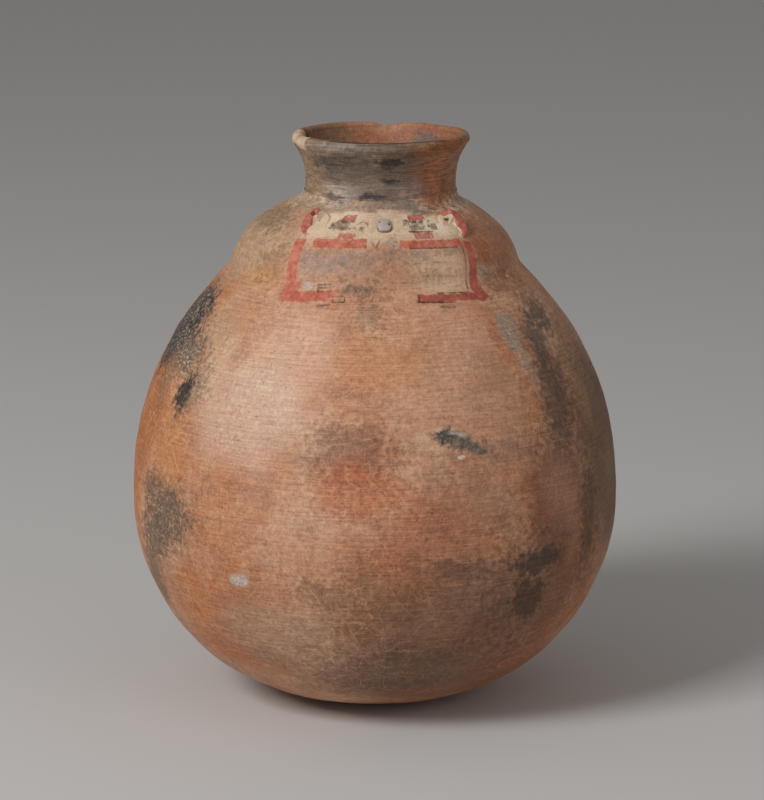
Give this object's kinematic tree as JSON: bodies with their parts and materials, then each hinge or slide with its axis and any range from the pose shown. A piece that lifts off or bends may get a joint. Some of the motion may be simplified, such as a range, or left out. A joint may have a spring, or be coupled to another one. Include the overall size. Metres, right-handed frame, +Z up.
{
  "type": "storage jar",
  "caption": "Round-bodied earthenware storage jar with a domed shoulder, short flared neck and a painted face with pierced ears.",
  "frame": {"origin": "middle of the flat rest under the base", "axes": "+Z up through the mouth, -Y towards the side that carries the face"},
  "size_m": [0.421, 0.421, 0.4925],
  "materials": {
    "orange_clay": "smoothed, self-slipped earthenware, fired in the open, worn by root marks",
    "buff_clay": "smoothed earthenware with a pale wash",
    "smoked_clay": "wiped earthenware, darkened by smoke",
    "red_slip": "matt red mineral slip over clay",
    "grey_slip": "matt grey-white mineral slip over clay",
    "fill_plaster": "matt toned plaster fill"
  },
  "bodies": {
    "root": {"base_bowl": "orange_clay", "lower_belly_wall": "orange_clay", "upper_belly_wall": "orange_clay", "shoulder_wall": "orange_clay", "shoulder_dome": "buff_clay", "neck_luting_coil": "buff_clay", "neck_collar": "smoked_clay", "rim_coil": "smoked_clay", "rim_fill": "fill_plaster", "ear_left": "red_slip", "ear_right": "red_slip", "nose_pellet": "grey_slip"}
  },
  "joints": []
}
